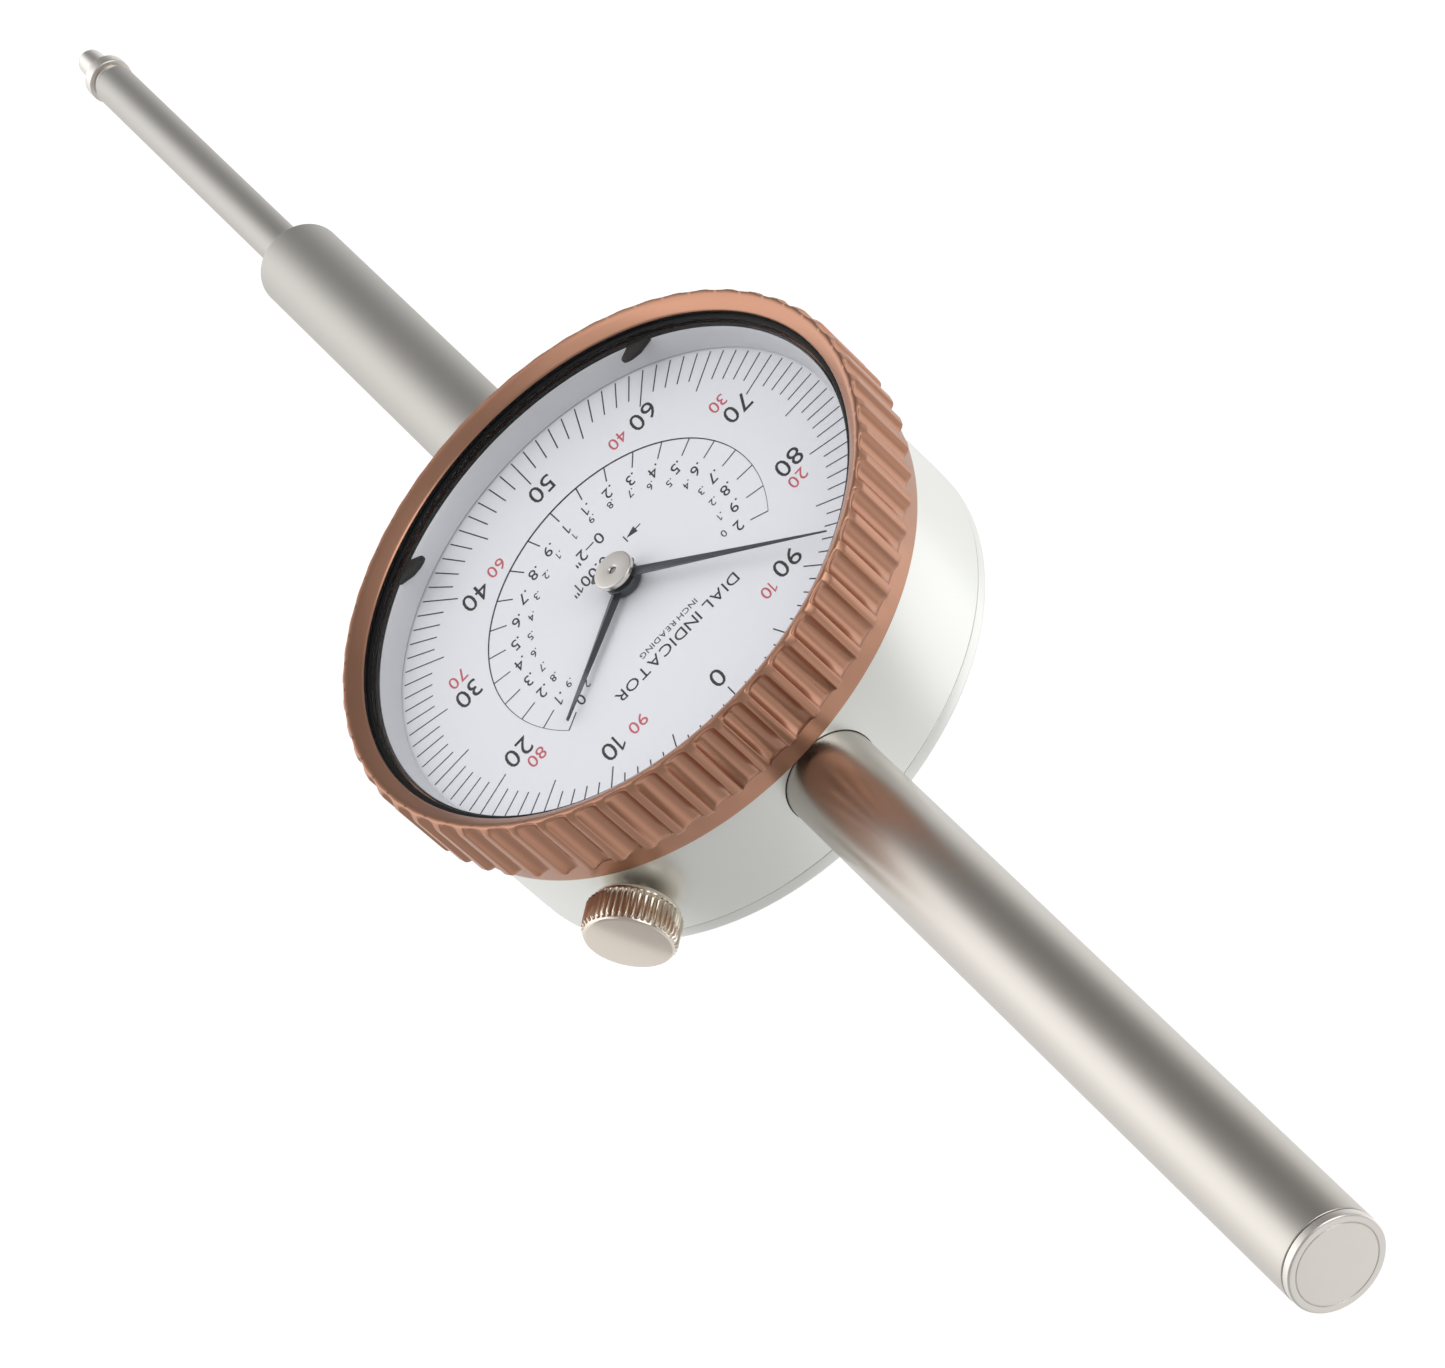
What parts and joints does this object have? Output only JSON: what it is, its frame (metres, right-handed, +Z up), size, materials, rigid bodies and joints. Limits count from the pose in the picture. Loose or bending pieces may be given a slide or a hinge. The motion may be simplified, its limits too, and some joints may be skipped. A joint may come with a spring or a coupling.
{
  "type": "dial indicator",
  "caption": "Plunger dial indicator with a round fluted bezel, long top tube, clamping stem, slim sprung spindle and a rear lug.",
  "frame": {"origin": "on the spindle axis, half way along the clamping length of the stem", "axes": "+Z up the spindle axis towards the top tube, -Y the way the dial faces, +X to the right as the dial is read"},
  "size_m": [0.0604, 0.0368, 0.2692],
  "materials": {
    "satin_case": "satin anodised",
    "ground_steel": "fine ground",
    "rose_bezel": "satin rose anodised",
    "bright_nickel": "bright nickel plate",
    "dial_white": "matt printed white",
    "hand_gunmetal": "satin",
    "black_rubber": "matt",
    "black_enamel": "satin black",
    "clear_crystal": "polished clear",
    "movement_brass": "satin",
    "bronze": "satin",
    "spring_steel": "polished"
  },
  "bodies": {
    "case": {"case_body": "satin_case", "back_cover": "satin_case", "back_cover_seal": "black_rubber", "back_cover_screw_1": "bright_nickel", "back_cover_screw_2": "bright_nickel", "back_cover_screw_3": "bright_nickel", "back_cover_screw_4": "bright_nickel", "stem": "ground_steel", "top_tube": "ground_steel", "tube_end_cap": "ground_steel", "lower_guide_bush": "bronze", "upper_guide_bush": "bronze", "return_spring": "spring_steel", "front_plate": "movement_brass", "rear_plate": "movement_brass", "pillar_1": "movement_brass", "pillar_2": "movement_brass", "pillar_3": "movement_brass", "pillar_screw_1": "bright_nickel", "pillar_screw_2": "bright_nickel", "pillar_screw_3": "bright_nickel", "plate_screw_1": "bright_nickel", "plate_screw_2": "bright_nickel", "plate_screw_3": "bright_nickel", "centre_cock": "movement_brass", "cock_post_1": "movement_brass", "cock_post_2": "movement_brass", "short_hand_cock": "movement_brass", "hairspring": "bronze", "bezel_retaining_ring": "spring_steel", "bezel_clamp_shoe": "movement_brass"},
    "plunger": {"spindle": "ground_steel", "contact_point": "ground_steel", "spring_follower": "movement_brass"},
    "rack_arbor": {"rack_pinion": "spring_steel", "drive_wheel": "movement_brass"},
    "centre_arbor": {"centre_pinion": "spring_steel", "long_hand": "hand_gunmetal", "hand_hub": "bright_nickel"},
    "take_up": {"take_up_arbor": "spring_steel", "take_up_wheel": "movement_brass"},
    "idler": {"idler_wheel": "movement_brass"},
    "hour_pipe": {"short_hand_wheel": "movement_brass", "short_hand": "hand_gunmetal"},
    "bezel_assembly": {"bezel": "rose_bezel", "crystal": "clear_crystal", "crystal_gasket": "black_rubber", "dial_face": "dial_white", "dial_clamp_ring": "satin_case"},
    "left_limit": {"tolerance_hand_left": "black_enamel"},
    "right_limit": {"tolerance_hand_right": "black_enamel"},
    "lock_screw": {"bezel_lock_knob": "bright_nickel"}
  },
  "joints": [
    {"name": "spindle_slide", "type": "slide", "parent": "case", "child": "plunger", "axis": [0, 0, 1], "range_m": [0, 0.051], "stiffness_N_per_m": 8, "springref_m": -0.08, "deforming": ["return_spring"]},
    {"name": "rack_arbor_turn", "type": "hinge", "parent": "case", "child": "rack_arbor", "pos_m": [-0.00362, 0, 0.05176], "axis": [0, 1, 0], "range_deg": [-1446, 0]},
    {"name": "long_hand_turn", "type": "hinge", "parent": "case", "child": "centre_arbor", "pos_m": [0, 0, 0.06], "axis": [0, 1, 0], "range_deg": [0, 7229]},
    {"name": "take_up_turn", "type": "hinge", "parent": "case", "child": "take_up", "pos_m": [0.0053, 0, 0.0653], "axis": [0, 1, 0], "range_deg": [-1808, 0]},
    {"name": "idler_turn", "type": "hinge", "parent": "case", "child": "idler", "pos_m": [0.00453, 0, 0.05789], "axis": [0, 1, 0], "range_deg": [-1377, 0]},
    {"name": "short_hand_turn", "type": "hinge", "parent": "case", "child": "hour_pipe", "pos_m": [0, 0, 0.06], "axis": [0, 1, 0], "range_deg": [0, 245]},
    {"name": "bezel_turn", "type": "hinge", "parent": "case", "child": "bezel_assembly", "pos_m": [0, 0, 0.06], "axis": [0, 1, 0], "continuous": true},
    {"name": "left_limit_turn", "type": "hinge", "parent": "bezel_assembly", "child": "left_limit", "pos_m": [0, 0, 0.06], "axis": [0, 1, 0], "range_deg": [-50, 90]},
    {"name": "right_limit_turn", "type": "hinge", "parent": "bezel_assembly", "child": "right_limit", "pos_m": [0, 0, 0.06], "axis": [0, 1, 0], "range_deg": [-90, 10]},
    {"name": "lock_screw_turn", "type": "hinge", "parent": "case", "child": "lock_screw", "pos_m": [0.02121, 0, 0.07978], "axis": [0.7314, 0, 0.682], "range_deg": [0, 540]}
  ],
  "couplings": [
    {"joint": "rack_arbor_turn", "follows": "spindle_slide", "rad_per_m": -494.74},
    {"joint": "long_hand_turn", "follows": "spindle_slide", "rad_per_m": 2473.7},
    {"joint": "take_up_turn", "follows": "spindle_slide", "rad_per_m": -618.42},
    {"joint": "idler_turn", "follows": "spindle_slide", "rad_per_m": -471.18},
    {"joint": "short_hand_turn", "follows": "spindle_slide", "rad_per_m": 83.765}
  ]
}
